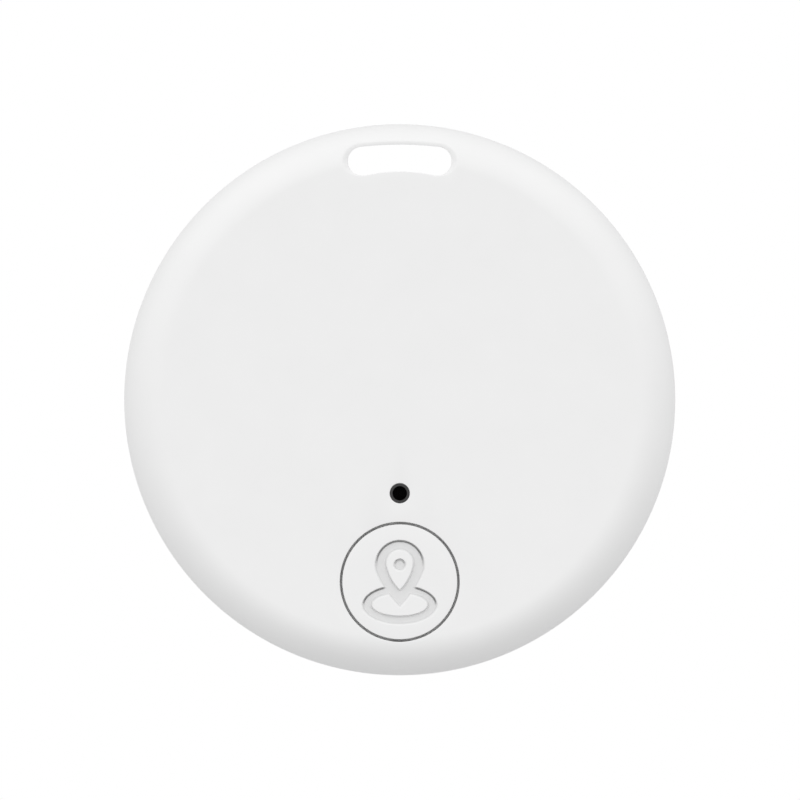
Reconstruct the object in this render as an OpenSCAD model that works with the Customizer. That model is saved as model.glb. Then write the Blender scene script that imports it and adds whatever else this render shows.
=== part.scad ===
// Round tracker tag: a snap-together housing with a lanyard slot, a push button,
// a piezo sounder, a circuit board and a coin cell.
// The tag lies on its back: z = 0 is the back, +z leaves the front, +y points at the slot.

/* [Housing] */
// Diameter of the tag
tag_d = 40; // [40:0.1:41]
// Thickness of the tag
tag_h = 8; // [8:0.1:8.4]
// Radius of the rounded edge, front and back
edge_r = 2.7; // [2.4:0.1:3]
// Thickness of the front wall and the side walls
wall_t = 1; // [0.8:0.05:1]
// Thickness of the back wall
floor_t = 0.9; // [0.7:0.05:0.9]
// Height of the parting line above the back
split_z = 3.2; // [3.1:0.05:3.3]

/* [Lanyard slot] */
// Width of the slot, end to end
slot_w = 7.54; // [6.6:0.02:8]
// Radius of the slot's round ends
slot_end_r = 1.05; // [1:0.01:1.1]
// Distance from the tag's centre to the middle of the slot's ends
slot_end_y = 17.32; // [17.25:0.01:17.4]
// Distance from the tag's centre to the crown of the slot's outer edge
slot_top_y = 18.52; // [18.45:0.01:18.55]
// Distance from the tag's centre to the crown of the slot's inner edge
slot_bottom_y = 16.57; // [16.5:0.01:16.65]
// Thickness of the wall round the slot
slot_wall = 0.85; // [0.7:0.05:0.9]

/* [Button] */
// Diameter of the button
button_d = 8.34; // [7.6:0.02:8.36]
// Gap between the button and the housing
button_gap = 0.18; // [0.1:0.01:0.2]
// Distance from the tag's centre to the button's centre
button_y = 13.22; // [13:0.02:13.3]

/* [Pictogram] */
// Depth of the sunk pictogram
mark_depth = 0.24; // [0.1:0.02:0.3]
// Radius of the map pin's round head
pin_r = 1.76; // [1.5:0.02:1.8]
// Distance from the middle of the pin's head to its point
pin_reach = 3.02; // [2.8:0.02:3.1]
// Distance from the button's centre to the middle of the pin's head
pin_rise = 1.26; // [1.1:0.02:1.4]
// Radius of the raised centre's head
core_r = 1.04; // [0.9:0.02:1.1]
// Distance from the middle of the raised centre's head to its point
core_reach = 2.01; // [1.8:0.01:2.1]
// Radius of the dot in the raised centre
dot_r = 0.41; // [0.3:0.01:0.5]
// Length of the ring under the pin
ring_length = 5.38; // [5:0.02:5.6]
// Width of the ring under the pin
ring_width = 2.76; // [2.4:0.02:2.9]
// Breadth of the ring's band at its ends
ring_band = 0.65; // [0.5:0.01:0.7]
// Distance from the button's centre down to the ring's centre
ring_drop = 1.7; // [1.6:0.02:1.8]

/* [Sound port] */
// Diameter of the sound hole
port_d = 1.46; // [1.2:0.02:1.5]
// Distance from the tag's centre to the sound hole
port_y = 6.79; // [6.6:0.01:6.79]
// Diameter of the sounder's brass plate
piezo_d = 15; // [14.8:0.1:15]
// Diameter of the sounder's ceramic disc
ceramic_d = 10; // [8:0.5:10]

/* [Coin cell] */
// Diameter of the coin cell
cell_d = 20; // [19.7:0.1:20]
// Height of the coin cell
cell_h = 3.2; // [3:0.05:3.2]
// Distance from the tag's centre to the cell's centre
cell_y = 1; // [0.5:0.1:1.2]

/* [Circuit board] */
// Diameter of the circuit board
board_d = 34.8; // [34:0.1:35]
// Thickness of the circuit board
board_t = 0.8; // [0.6:0.05:0.8]
// Distance from the tag's centre to the posts that hold the board
post_ring = 15.2; // [15:0.1:15.3]

/* [Hidden] */
$fn = 96;
eps = 0.01;

// Housing
tag_r = tag_d / 2;
front_z = tag_h - wall_t;        // inner face of the front wall
inner_r = tag_r - wall_t;        // inner face of the side walls
inner_edge_r = edge_r - wall_t;
seam = 0.12;                     // size of the bevel along the parting line
lip_fit = 0.07;                  // clearance round the rear cover's lip
lip_t = 0.88;
lip_r = inner_r - lip_fit;
lip_z = split_z + 1.2;           // top of the lip
lip_root_z = split_z - 1;
snap_z = split_z + 0.7;          // height of the snap beads
snap_r = 0.15;
snap_span = 26;                  // degrees that each snap bead covers
notch_size = [7, 0.7, 0.7];      // fingernail notch under the parting line

// Lanyard slot: the centres of the two long edges' arcs follow from their crowns
slot_end_x = slot_w / 2 - slot_end_r;
slot_outer_c = (pow(slot_end_x, 2) + pow(slot_end_y, 2) - pow(slot_top_y - slot_end_r, 2))
    / (2 * (slot_end_y - slot_top_y + slot_end_r));
slot_inner_c = (pow(slot_end_x, 2) + pow(slot_end_y, 2) - pow(slot_bottom_y + slot_end_r, 2))
    / (2 * (slot_end_y - slot_bottom_y - slot_end_r));

// Stack of parts from the back to the front
foam_t = 0.28;
cell_z = floor_t + 0.3;
cell_top = cell_z + cell_h;
board_z = cell_top + 0.5;
board_top = board_z + board_t;

// Button and switch
button_r = button_d / 2;
button_c = [0, -button_y];
flange_r = button_r + 0.71;
flange_z = [board_top + 0.75, front_z - 0.05];
flange_top_y = -8.75;            // flat on the flange, beside the sounder's seat
flange_rim_r = 17.5;             // the flange is trimmed to the housing's round wall
pip_r = 0.95;
switch_size = [3.2, 2.8, 0.45];
dome_z = board_top + 0.1;
dome_h = 0.24;
dome_r = 1.15;
plunger_r = 0.8;
cover_t = 0.07;

// Sounder
piezo_c = [0, -0.8];
piezo_r = piezo_d / 2;
seat_r = [piezo_r - 0.65, piezo_r + 0.15];
plate_t = 0.1;
ceramic_t = 0.1;
adhesive_t = 0.08;
seat_z = front_z - 0.42;         // lower end of the sounder's seat
plate_z = seat_z - adhesive_t - plate_t;
ceramic_z = plate_z - ceramic_t;
liner_r = port_d / 2;
liner_collar_r = liner_r + 0.12;
mesh_t = 0.05;

// Coin cell and its contacts
cell_r = cell_d / 2;
cell_c = [0, cell_y];
well_r = [cell_r + 0.2, cell_r + 1];
well_top = split_z + 0.7;
contact_angle = 150;             // where the positive contact stands round the cell
contact_w = 3;
finger_angles = [30, 210];       // cut-outs for lifting the cell

// Circuit board
board_r = board_d / 2;
board_flat_y = 15.2;
post_angles = [35, 145, 215, 325];
post_r = 1.2;
peg_r = 0.6;
head_r = 1.05;
support_spots = [[14.6, 0.6], [-14.6, 0.6], [3.4, -14.2], [-3.4, -14.2]];

// Sounder leads: red from the ceramic disc, black from the brass plate
lead_r = 0.16;
red_route = [[2.2, -1.2, 6.14], [4.9, -2.3, 6.08], [7.4, -4.2, 6.05], [9, -5.9, 6], [9.7, -6.9, 5.9]];
black_route = [[4.4, -5.4, 6.2], [5.6, -6.5, 6.1], [7, -7.9, 6.02], [8.3, -9.2, 5.9]];

// Chip capacitors and resistors: [x, y, turn]
capacitor_spots = [
    [-7.6, 4.2, 0], [-8.4, 9.2, 90], [-14.9, 2.6, 90], [-14.9, 0.6, 90], [-14.9, -1.4, 90],
    [-8.3, -3.6, 90], [8.6, 7.6, 0], [8.2, 2.2, 90], [4.6, 13.8, 90], [-4.6, 13.8, 90]
];
resistor_spots = [
    [-9.6, -6.9, 0], [-8, -8.6, 0], [-6.4, -10.2, 0], [6.2, 10.4, 0], [13.9, 2.2, 90],
    [13.9, -3.4, 90], [-5.4, 11.4, 0]
];

function polar(r, a) = r * [cos(a), sin(a)];

// A drum's half section, from y = 0 to y = h, with its upper outer corner rounded
module drum_section(r, h, corner) {
    intersection() {
        square([r, h]);
        union() {
            square([r - corner, h]);
            square([r, h - corner]);
            translate([r - corner, h - corner]) circle(corner);
        }
    }
}

// The slot's outline, made larger all round by grow
module slot_outline(grow = 0) {
    outer_r = slot_top_y - slot_outer_c + grow;
    inner_arc_r = slot_bottom_y - slot_inner_c - grow;
    outer_far = [slot_end_x, slot_end_y - slot_outer_c] * 1.2;
    inner_near = [slot_end_x, slot_end_y - slot_inner_c] * 0.8;
    for (side = [-1, 1])
        translate([side * slot_end_x, slot_end_y]) circle(slot_end_r + grow);
    difference() {
        intersection() {
            translate([0, slot_outer_c]) circle(outer_r, $fn = 360);
            polygon([
                [-inner_near.x, slot_inner_c + inner_near.y], [-slot_end_x, slot_end_y],
                [-outer_far.x, slot_outer_c + outer_far.y], [outer_far.x, slot_outer_c + outer_far.y],
                [slot_end_x, slot_end_y], [inner_near.x, slot_inner_c + inner_near.y]
            ]);
        }
        translate([0, slot_inner_c]) circle(inner_arc_r, $fn = 180);
    }
}

// Bevel that both covers share along the parting line
module seam_groove() {
    rotate_extrude()
        polygon([[tag_r - seam, split_z], [tag_r + seam, split_z - 2 * seam],
            [tag_r + seam, split_z + 2 * seam]]);
}

module front_shell() {
    difference() {
        rotate_extrude()
            translate([0, split_z]) drum_section(tag_r, tag_h - split_z, edge_r);
        rotate_extrude()
            translate([0, split_z - 1])
                drum_section(inner_r, front_z - split_z + 1, inner_edge_r);
        rotate_extrude() translate([inner_r - 0.03, snap_z]) circle(snap_r + 0.07, $fn = 32);
    }
}

// Post that sets the board's height, and its peg with the head formed over the board
module board_post() {
    translate([0, 0, board_top]) cylinder(r = post_r, h = front_z - board_top + eps);
    translate([0, 0, board_z - eps]) cylinder(r = peg_r, h = board_t + 2 * eps);
    translate([0, 0, board_z - 0.35]) cylinder(r1 = head_r - 0.25, r2 = head_r, h = 0.35);
}

module front_cover() {
    color("white")
    difference() {
        union() {
            front_shell();
            intersection() {
                rotate_extrude()
                    translate([0, split_z]) drum_section(tag_r, tag_h - split_z, edge_r);
                translate([0, 0, split_z]) linear_extrude(tag_h) slot_outline(slot_wall);
            }
            for (a = post_angles) translate(polar(post_ring, a)) board_post();
            translate([piezo_c.x, piezo_c.y, seat_z]) difference() {
                cylinder(r = seat_r[1], h = front_z - seat_z + eps);
                translate([0, 0, -1]) cylinder(r = seat_r[0], h = front_z - seat_z + 1);
            }
        }
        seam_groove();
        translate([0, 0, -1]) linear_extrude(tag_h + 2) slot_outline();
        translate([0, -port_y, seat_z]) cylinder(r = liner_r, h = tag_h);
        translate([button_c.x, button_c.y, board_top])
            cylinder(r = button_r + button_gap, h = tag_h);
    }
}

module rear_shell() {
    difference() {
        rotate_extrude()
            translate([0, split_z]) mirror([0, 1]) drum_section(tag_r, split_z, edge_r);
        rotate_extrude()
            translate([0, split_z + 1]) mirror([0, 1])
                drum_section(inner_r, split_z - floor_t + 1, inner_edge_r);
    }
}

// Lip that enters the front cover, with its snap beads, cut away at the slot
module lip() {
    difference() {
        union() {
            rotate_extrude()
                polygon([[lip_r - lip_t, lip_root_z], [inner_r + 0.3, lip_root_z],
                    [inner_r + 0.3, split_z], [lip_r, split_z], [lip_r, lip_z - 0.2],
                    [lip_r - 0.2, lip_z], [lip_r - lip_t, lip_z]]);
            for (a = post_angles)
                rotate(a - snap_span / 2)
                    rotate_extrude(angle = snap_span)
                        translate([lip_r, snap_z]) circle(snap_r, $fn = 32);
        }
        translate([0, 0, split_z]) linear_extrude(tag_h) slot_outline(slot_wall + 0.2);
    }
}

// Ring wall that holds the coin cell, open at the contact and at two finger cut-outs
module cell_well() {
    translate(cell_c) difference() {
        translate([0, 0, floor_t - eps]) difference() {
            cylinder(r = well_r[1], h = well_top - floor_t);
            translate([0, 0, -1]) cylinder(r = well_r[0], h = well_top + 1);
        }
        rotate(contact_angle)
            translate([cell_r - 2, -contact_w / 2 - 0.3, floor_t]) cube([4, contact_w + 0.6, tag_h]);
        for (a = finger_angles)
            rotate(a) translate([cell_r - 2, -4, floor_t + 0.8]) cube([4, 8, tag_h]);
    }
}

module rear_cover() {
    color("white")
    difference() {
        union() {
            rear_shell();
            lip();
            cell_well();
            for (spot = support_spots)
                translate([spot.x, spot.y, floor_t - eps])
                    cylinder(r = 0.8, h = board_z - 0.1 - floor_t);
            intersection() {
                rotate_extrude()
                    translate([0, split_z]) mirror([0, 1]) drum_section(tag_r, split_z, edge_r);
                linear_extrude(split_z) slot_outline(slot_wall);
            }
        }
        seam_groove();
        translate([0, 0, -1]) linear_extrude(tag_h + 2) slot_outline();
        translate([-notch_size.x / 2, -tag_r - 1, split_z - notch_size.z])
            cube([notch_size.x, notch_size.y + 1, notch_size.z + eps]);
    }
}

module foam_pad() {
    color("dimgray") translate([cell_c.x, cell_c.y, floor_t]) cylinder(r = 7, h = foam_t);
}

// Dark liner of the sound hole, with a collar behind the front wall
module port_liner() {
    color([0.12, 0.12, 0.12])
    translate([0, -port_y, front_z]) difference() {
        union() {
            cylinder(r = liner_r, h = wall_t - 0.06);
            translate([0, 0, -0.15]) cylinder(r = liner_collar_r, h = 0.15);
        }
        translate([0, 0, -1]) cylinder(r = liner_r - 0.2, h = tag_h);
    }
}

module dust_mesh() {
    color("black") translate([0, -port_y, front_z - 0.15 - mesh_t])
        cylinder(r = liner_collar_r, h = mesh_t);
}

// A map pin's outline: a round head drawn down to a point
module pin_outline(head, reach) {
    rise = asin(head / reach);
    circle(head);
    polygon([polar(head, 180 + rise), [0, -reach], polar(head, -rise)]);
}

module ellipse(a, b) {
    polygon([for (t = [0:5:355]) [a * cos(t), b * sin(t)]]);
}

// Pictogram of a map pin that stands in a ring
module pictogram() {
    difference() {
        union() {
            translate([0, pin_rise]) pin_outline(pin_r, pin_reach);
            translate([0, -ring_drop]) difference() {
                ellipse(ring_length / 2, ring_width / 2);
                ellipse(ring_length / 2 - ring_band, ring_width / 2 - 0.74 * ring_band);
            }
        }
        translate([0, pin_rise + 0.1]) pin_outline(core_r, core_reach);
    }
    translate([0, pin_rise]) circle(dot_r, $fn = 48);
}

module button_cap() {
    bevel = 0.08;
    color("white")
    translate([button_c.x, button_c.y, 0]) difference() {
        union() {
            rotate_extrude()
                polygon([[0, front_z - 0.3], [button_r, front_z - 0.3], [button_r, tag_h - bevel],
                    [button_r - bevel, tag_h], [0, tag_h]]);
            difference() {
                intersection() {
                    translate([0, 0, flange_z[0]])
                        cylinder(r = flange_r, h = flange_z[1] - flange_z[0]);
                    translate([0, button_y, 0]) cylinder(r = flange_rim_r, h = tag_h);
                    translate([-tag_r, -tag_r, 0]) cube([tag_d, tag_r + button_y + flange_top_y, tag_h]);
                }
                translate([0, 0, board_z]) cylinder(r = 3.3, h = front_z - board_z);
            }
            translate([0, 0, flange_z[0] + eps]) cylinder(r = pip_r, h = 1);
        }
        translate([0, 0, tag_h - mark_depth]) linear_extrude(1) pictogram();
    }
}

// Low push switch under the button
module switch_base() {
    color([0.2, 0.2, 0.22])
    translate([button_c.x, button_c.y, board_top]) difference() {
        translate([-switch_size.x / 2, -switch_size.y / 2, 0]) cube(switch_size);
        translate([0, 0, dome_z - board_top]) cylinder(r = dome_r + 0.1, h = 2);
    }
}

module switch_dome() {
    ball_r = (pow(dome_r, 2) + pow(dome_h, 2)) / (2 * dome_h);
    color("silver")
    translate([button_c.x, button_c.y, dome_z]) rotate_extrude() intersection() {
        square([dome_r, dome_h + eps]);
        translate([0, dome_h - ball_r]) difference() {
            circle(ball_r, $fn = 240);
            circle(ball_r - 0.05, $fn = 240);
        }
    }
}

module switch_plunger() {
    low = dome_z + dome_h + eps;
    color([0.15, 0.15, 0.15]) translate([button_c.x, button_c.y, low]) {
        cylinder(r = plunger_r + 0.25, h = 0.08);
        cylinder(r = plunger_r, h = flange_z[0] - low);
    }
}

module switch_cover() {
    color("silver")
    translate([button_c.x, button_c.y, board_top + switch_size.z]) difference() {
        translate([-switch_size.x / 2 + 0.1, -switch_size.y / 2 + 0.1, 0])
            cube([switch_size.x - 0.2, switch_size.y - 0.2, cover_t]);
        translate([0, 0, -1]) cylinder(r = plunger_r + 0.06, h = 2);
    }
}

module switch_terminals() {
    color("silver")
    for (side = [-1, 1], end = [-1, 1])
        translate([button_c.x + side * (switch_size.x / 2 + 0.25), button_c.y + end * 0.85,
            board_top + 0.06])
            cube([0.5, 0.45, 0.12], center = true);
}

module circuit_board() {
    color("darkgreen") translate([0, 0, board_z]) linear_extrude(board_t) difference() {
        circle(board_r, $fn = 180);
        translate([-board_r, board_flat_y]) square([board_d, board_r]);
        for (a = post_angles) translate(polar(post_ring, a)) circle(peg_r + 0.08, $fn = 32);
    }
}

// Leadless chip with contact pads along its four sides
module radio_chip() {
    size = 5;
    pads = 8;
    color([0.1, 0.1, 0.1]) translate([-11.6, 0.5, board_top]) {
        translate([-size / 2, -size / 2, 0.02]) cube([size, size, 0.75]);
        for (turn = [0:90:270], i = [0:pads - 1])
            rotate(turn) translate([size / 2 - 0.4, (i - (pads - 1) / 2) * 0.5 - 0.12, 0])
                cube([0.45, 0.24, 0.15]);
    }
}

// Crystal: a ceramic tray with a metal lid
module crystal(size, lid_h) {
    translate([-size.x / 2, -size.y / 2, 0]) cube(size);
    translate([-size.x / 2 + 0.15, -size.y / 2 + 0.15, 0]) cube([size.x - 0.3, size.y - 0.3, size.z + lid_h]);
}

module main_crystal() {
    color("silver") translate([-9.6, 6.6, board_top]) crystal([3.2, 2.5, 0.4], 0.22);
}

module clock_crystal() {
    color("silver") translate([-11.8, -4.6, board_top]) crystal([3.2, 1.5, 0.45], 0.3);
}

module chip_antenna() {
    color("lightsteelblue") translate([0, 14, board_top]) {
        translate([-2.6, -1, 0]) cube([5.2, 2, 1]);
        for (side = [-1, 1])
            translate([side * 2.45 - 0.2, -1.03, 0]) cube([0.4, 2.06, 1.03]);
    }
}

module boost_inductor() {
    color([0.25, 0.25, 0.27]) translate([11, 4.6, board_top]) difference() {
        union() {
            translate([-1.5, -1.5, 0]) cube([3, 3, 0.25]);
            cylinder(r = 1.2, h = 0.9);
            translate([-1.5, -1.5, 0.75]) cube([3, 3, 0.25]);
        }
        for (turn = [45:90:315]) rotate(turn) translate([2, -1, -1]) cube([1, 2, 3]);
    }
}

// Three-legged transistor that drives the sounder
module sounder_driver() {
    color([0.1, 0.1, 0.1]) translate([11.2, -0.2, board_top]) {
        translate([-1.45, -0.65, 0.1]) cube([2.9, 1.3, 0.9]);
        for (leg = [[-0.95, -1], [0.95, -1], [0, 1]])
            translate([leg.x - 0.2, leg.y > 0 ? 0.6 : -1.2, 0]) cube([0.4, 0.6, 0.2]);
    }
}

// Two-ended chip part with a plated cap on each end
module chip_part(size) {
    translate([-size.x / 2 + 0.1, -size.y / 2 + 0.02, 0.02])
        cube([size.x - 0.2, size.y - 0.04, size.z - 0.04]);
    for (side = [-1, 1])
        translate([side * (size.x / 2 - 0.12) - 0.12, -size.y / 2, 0]) cube([0.24, size.y, size.z]);
}

module chip_capacitors() {
    color("tan") {
        for (spot = capacitor_spots)
            translate([spot.x, spot.y, board_top]) rotate(spot.z) chip_part([1, 0.5, 0.5]);
        translate([11.3, -4.4, board_top]) chip_part([3.2, 1.6, 0.9]);
    }
}

module chip_resistors() {
    color([0.15, 0.15, 0.15])
    for (spot = resistor_spots)
        translate([spot.x, spot.y, board_top]) rotate(spot.z) chip_part([1, 0.5, 0.35]);
}

module piezo_plate() {
    color("goldenrod") translate([piezo_c.x, piezo_c.y, plate_z])
        cylinder(r = piezo_r, h = plate_t, $fn = 128);
}

module piezo_ceramic() {
    color("gainsboro") translate([piezo_c.x, piezo_c.y, ceramic_z])
        cylinder(r = ceramic_d / 2, h = ceramic_t, $fn = 128);
}

module piezo_adhesive() {
    color("wheat") translate([piezo_c.x, piezo_c.y, plate_z + plate_t]) difference() {
        cylinder(r = piezo_r, h = adhesive_t, $fn = 128);
        translate([0, 0, -1]) cylinder(r = seat_r[0], h = 2, $fn = 128);
    }
}

// A smooth curve through the points of a route, with steps points for each stretch
function route_point(p, i, t) =
    let (a = p[max(i - 1, 0)], b = p[i], c = p[i + 1], d = p[min(i + 2, len(p) - 1)])
    0.5 * (2 * b + (c - a) * t + (2 * a - 5 * b + 4 * c - d) * t * t
        + (3 * b - a - 3 * c + d) * t * t * t);
function smooth_route(p, steps) = concat(
    [for (i = [0:len(p) - 2], k = [0:steps - 1]) route_point(p, i, k / steps)], [p[len(p) - 1]]);

// A round lead swept along a route
module lead(route, r, sides = 10) {
    path = smooth_route(route, 4);
    last = len(path) - 1;
    ring = [for (i = [0:last])
        let (ahead = path[min(i + 1, last)] - path[max(i - 1, 0)],
            along = ahead / norm(ahead),
            level = cross([0, 0, 1], along),
            side = level / norm(level),
            up = cross(along, side))
        for (k = [0:sides - 1])
            path[i] + r * (side * cos(k * 360 / sides) + up * sin(k * 360 / sides))];
    walls = [for (i = [0:last - 1], k = [0:sides - 1])
        let (n = (k + 1) % sides, low = i * sides, high = low + sides)
        for (face = [[low + k, high + k, high + n], [low + k, high + n, low + n]]) face];
    ends = [[for (k = [0:sides - 1]) k],
        [for (k = [0:sides - 1]) last * sides + sides - 1 - k]];
    polyhedron(ring, concat(walls, ends), convexity = 4);
}

module piezo_lead_red() {
    color("red") lead(red_route, lead_r);
}

module piezo_lead_black() {
    color([0.1, 0.1, 0.1]) lead(black_route, lead_r);
}

// A low mound of solder: the top of a ball
module solder_mound(r, h) {
    ball_r = (r * r + h * h) / (2 * h);
    rotate_extrude() intersection() {
        square([r, h + eps]);
        translate([0, h - ball_r]) circle(ball_r);
    }
}

module solder_joints() {
    red_end = red_route[len(red_route) - 1];
    black_end = black_route[len(black_route) - 1];
    color("silver") {
        translate([red_route[0].x, red_route[0].y, ceramic_z]) mirror([0, 0, 1]) solder_mound(0.65, 0.3);
        translate([black_route[0].x, black_route[0].y, plate_z]) mirror([0, 0, 1])
            solder_mound(0.65, 0.32);
        for (end = [red_end, black_end])
            translate([end.x, end.y, board_top]) solder_mound(0.65, 0.38);
    }
}

// Sprung strip that presses on the side of the cell
module positive_contact() {
    spring = [[cell_r + 0.62, board_z], [cell_r + 0.58, board_z - 1.4],
        [cell_r + 0.04, board_z - 2.1], [cell_r + 0.4, board_z - 2.8]];
    leaf_t = 0.14;
    color("silver")
    translate(cell_c) rotate(contact_angle)
        translate([0, contact_w / 2, 0]) rotate([90, 0, 0]) linear_extrude(contact_w) {
            polygon(concat(spring, [for (i = [3:-1:0]) spring[i] + [leaf_t, 0]]));
            translate([cell_r + 0.62, board_z - 0.12]) square([2, 0.12]);
        }
}

// Bowed leaf that presses on the front face of the cell
module negative_contact() {
    leaf_t = 0.12;
    half = 4;
    bow = board_z - leaf_t - (cell_top + 0.03);
    arc_r = (half * half + bow * bow) / (2 * bow);
    color("silver")
    translate([cell_c.x, cell_c.y + contact_w / 2, 0]) rotate([90, 0, 0])
        linear_extrude(contact_w) {
            intersection() {
                translate([0, cell_top + 0.03 + arc_r]) difference() {
                    circle(arc_r, $fn = 720);
                    circle(arc_r - leaf_t, $fn = 720);
                }
                translate([-half, cell_top]) square([2 * half, board_z - cell_top]);
            }
            for (side = [-1, 1])
                translate([side * (half + 0.7) - 0.75, board_z - leaf_t]) square([1.5, leaf_t]);
        }
}

// Coin cell: the can is the positive side, the cap is the negative side
module cell_can() {
    corner = 0.4;
    color("silver") translate([cell_c.x, cell_c.y, cell_z]) rotate_extrude($fn = 128) difference() {
        intersection() {
            square([cell_r, cell_h - 0.2]);
            union() {
                translate([0, corner]) square([cell_r, cell_h - 1.2]);
                square([cell_r - corner, cell_h]);
                translate([cell_r - corner, corner]) circle(corner);
                translate([cell_r - 0.8, cell_h - 0.8]) circle(0.8);
            }
        }
        translate([0, 0.3]) square([cell_r - 0.55, cell_h]);
    }
}

module cell_gasket() {
    color("whitesmoke") translate([cell_c.x, cell_c.y, cell_z + 0.3]) difference() {
        cylinder(r = cell_r - 0.55, h = cell_h - 0.4, $fn = 128);
        translate([0, 0, -1]) cylinder(r = cell_r - 0.85, h = cell_h + 1, $fn = 128);
    }
}

module cell_cap() {
    color("silver") translate([cell_c.x, cell_c.y, cell_z + 0.3])
        rotate_extrude($fn = 128) drum_section(cell_r - 0.85, cell_h - 0.3, 0.4);
}

rear_cover();
foam_pad();
front_cover();
port_liner();
dust_mesh();
button_cap();
switch_plunger();
switch_base();
switch_dome();
switch_cover();
switch_terminals();
circuit_board();
radio_chip();
main_crystal();
clock_crystal();
chip_antenna();
boost_inductor();
sounder_driver();
chip_capacitors();
chip_resistors();
piezo_plate();
piezo_ceramic();
piezo_adhesive();
piezo_lead_red();
piezo_lead_black();
solder_joints();
positive_contact();
negative_contact();
cell_can();
cell_gasket();
cell_cap();
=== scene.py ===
import math

import bmesh
import bpy
import numpy as np
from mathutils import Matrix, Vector
from mathutils.geometry import delaunay_2d_cdt


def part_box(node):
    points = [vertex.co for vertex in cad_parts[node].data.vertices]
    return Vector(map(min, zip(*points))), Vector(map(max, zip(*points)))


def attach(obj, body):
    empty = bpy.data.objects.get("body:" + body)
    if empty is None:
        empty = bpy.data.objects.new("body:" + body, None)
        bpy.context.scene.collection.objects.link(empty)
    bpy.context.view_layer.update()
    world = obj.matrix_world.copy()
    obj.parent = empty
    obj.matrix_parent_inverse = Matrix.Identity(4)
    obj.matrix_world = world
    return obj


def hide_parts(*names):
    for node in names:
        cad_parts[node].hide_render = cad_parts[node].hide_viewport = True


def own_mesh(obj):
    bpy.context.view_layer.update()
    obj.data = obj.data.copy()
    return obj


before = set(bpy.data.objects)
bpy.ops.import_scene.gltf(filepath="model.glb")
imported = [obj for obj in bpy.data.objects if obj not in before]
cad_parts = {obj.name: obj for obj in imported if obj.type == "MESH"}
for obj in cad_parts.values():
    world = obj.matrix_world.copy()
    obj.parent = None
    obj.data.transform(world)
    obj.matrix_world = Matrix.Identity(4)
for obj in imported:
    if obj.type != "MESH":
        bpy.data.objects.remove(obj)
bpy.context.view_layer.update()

MM = 0.001

# ------------------------ sizes, in millimetres
_, front_high = (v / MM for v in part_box("front_cover"))
_, cap_high = (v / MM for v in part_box("button_cap"))
liner_low, liner_high = (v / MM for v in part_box("port_liner"))
board_low, board_high = (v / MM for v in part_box("circuit_board"))
dome_low, dome_high = (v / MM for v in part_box("switch_dome"))
foam_low, foam_high = (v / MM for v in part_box("foam_pad"))
mesh_low, mesh_high = (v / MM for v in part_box("dust_mesh"))

TAG_R = front_high.x                 # radius of the tag
TOP = front_high.z                   # front face
SPLIT = 3.2                          # parting line
EDGE_R = 2.7                         # rounded edge, front and back
FACE_R = TAG_R - EDGE_R              # where the flat face ends
WALL = 1.0                           # wall of the front cover, and of both covers at the side
CAVITY_R = TAG_R - WALL
CEILING = TOP - WALL
FLOOR = 0.9                          # inner face of the rear cover
INNER_EDGE_R = EDGE_R - WALL
SEAM = 0.12                          # bevel along the parting line
SLOT_WALL = 0.85                     # wall of the slot's tower
BUTTON = (0.0, (dome_low.y + dome_high.y) / 2)
BUTTON_R = 4.17
BUTTON_GAP = 0.18
FLANGE_R = cap_high.x
FLANGE_LOW, FLANGE_HIGH = 6.45, 6.95
FLANGE_REACH = 17.5                  # the flange is trimmed at this distance from the tag's axis
FLANGE_SIDE = -8.75                  # and at this y, beside the sounder
WELL_R, WELL_Z = 3.3, 6.7            # hollow under the cap
MARK_R = 3.7                         # a circle about the button's centre that holds the pictogram
PORT = (0.0, (liner_low.y + liner_high.y) / 2)
PORT_R = 0.73
SOUNDER = (0.0, -0.8)
SEAT_IN, SEAT_OUT, SEAT_LOW = 6.85, 7.65, 6.58        # ring under the front that carries the sounder
CELL = (0.0, 1.0)
CELL_WALL_IN, CELL_WALL_OUT = 10.2, 11.0              # ring wall round the cell
BOARD_PINS = ((14.6, 0.6), (-14.6, 0.6), (3.4, -14.2), (-3.4, -14.2))
POSTS = (35, 145, 215, 325)          # degrees
POST_RING = 15.2
PEG_R, HEAD_R, POST_R = 0.6, 1.05, 1.2
LIP_R = CAVITY_R - 0.07
LIP_IN = LIP_R - 0.88
LIP_ROOT, LIP_TOP = 2.2, 4.4
SNAP_Z = SPLIT + 0.7
SNAP_R = 0.15                        # radius of the snap bead
GROOVE_R = 0.22                      # radius of the groove that takes it
NOTCH_W, NOTCH_DEPTH, NOTCH_Z = 3.6, 0.7, 2.46
MESH_PITCH = 0.075                   # distance between the wires of the dust mesh
RIM_N = 540                          # points round the rim
PLAN_N = 240                         # points round the button


# ------------------------ small maths
def smooth(t):
    t = min(1.0, max(0.0, t))
    return t * t * (3 - 2 * t)


def polar(r, degrees, centre=(0.0, 0.0)):
    a = math.radians(degrees)
    return centre[0] + r * math.cos(a), centre[1] + r * math.sin(a)


def circle(r, n, centre=(0.0, 0.0), turn=0.0):
    return [polar(r, turn + 360 * i / n, centre) for i in range(n)]


def rim_drop(r, radius):
    """How far the rounded edge has fallen at distance r from the axis."""
    over = min(max(0.0, r - FACE_R), radius)
    return radius - math.sqrt(radius * radius - over * over)


def unroll(radius):
    """Lays the face and its rounded edge out flat, so that triangles keep their shape."""
    def flat(x, y):
        r = math.hypot(x, y)
        if r <= FACE_R:
            return x, y
        s = FACE_R + radius * math.asin(min(1.0, (r - FACE_R) / radius))
        return x * s / r, y * s / r
    return flat


def edge_round(radius):
    """(distance from the hole, drop) of a plain rounded edge, from the skin to the hole's wall."""
    steps = 6
    return [(radius * (1 - math.sin(t)), radius * (1 - math.cos(t)))
            for t in (math.pi / 2 * i / steps for i in range(steps + 1))]


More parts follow.
